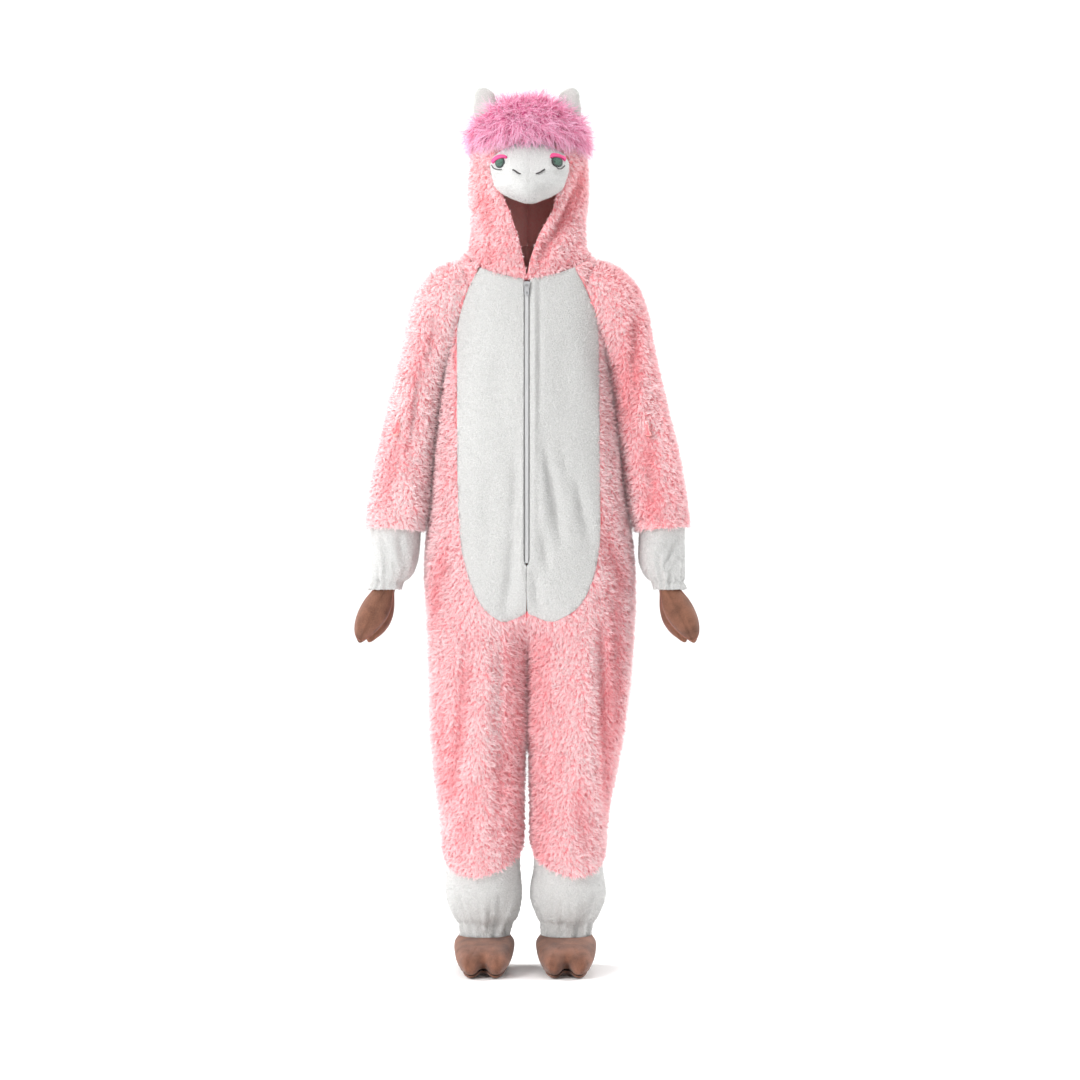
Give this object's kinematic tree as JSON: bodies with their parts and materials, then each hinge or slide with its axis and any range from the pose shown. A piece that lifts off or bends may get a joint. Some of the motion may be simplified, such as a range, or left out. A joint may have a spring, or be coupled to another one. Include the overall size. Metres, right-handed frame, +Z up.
{
  "type": "llama onesie",
  "caption": "Adult one-piece llama costume in pink plush with a white fleece belly, hood with stuffed face, mane and ears, brown hoof mitts and boots and a front zip.",
  "frame": {"origin": "between the wearer's shoulders, in the middle of the body at shoulder height", "axes": "+Z up, -Y to the front, +X to the wearer's left"},
  "size_m": [0.686, 0.3414, 1.756],
  "materials": {
    "pink_plush": "soft long pile",
    "white_fleece": "short nap",
    "brown_suede": "matte suede",
    "pink_mane": "long silky pile",
    "green_felt": "matte",
    "magenta_felt": "matte",
    "zip_tape": "woven",
    "zip_metal": "satin"
  },
  "bodies": {
    "garment": {"front_right": "pink_plush", "back_right": "pink_plush", "belly_right": "white_fleece", "sleeve_upper_right": "pink_plush", "sleeve_lower_right": "pink_plush", "cuff_right": "white_fleece", "mitt_front_right": "brown_suede", "mitt_back_right": "brown_suede", "lower_leg_right": "white_fleece", "boot_right": "brown_suede", "sole_right": "brown_suede", "hood_right": "pink_plush", "ear_right": "white_fleece", "face_right": "white_fleece", "eye_right": "green_felt", "lid_right": "magenta_felt", "zip_tape_right": "zip_tape", "front_left": "pink_plush", "back_left": "pink_plush", "belly_left": "white_fleece", "sleeve_upper_left": "pink_plush", "sleeve_lower_left": "pink_plush", "cuff_left": "white_fleece", "mitt_front_left": "brown_suede", "mitt_back_left": "brown_suede", "lower_leg_left": "white_fleece", "boot_left": "brown_suede", "sole_left": "brown_suede", "hood_left": "pink_plush", "ear_left": "white_fleece", "face_left": "white_fleece", "eye_left": "green_felt", "lid_left": "magenta_felt", "zip_tape_left": "zip_tape", "mane": "pink_mane", "zip_chain": "zip_metal", "zip_slider": "zip_metal"},
    "pull_tab": {"zip_pull": "zip_metal"}
  },
  "joints": [
    {"name": "zip_pull_hinge", "type": "hinge", "parent": "garment", "child": "pull_tab", "pos_m": [0, -0.10894, -0.045], "axis": [-1, 0, 0], "range_deg": [0, 150]}
  ]
}
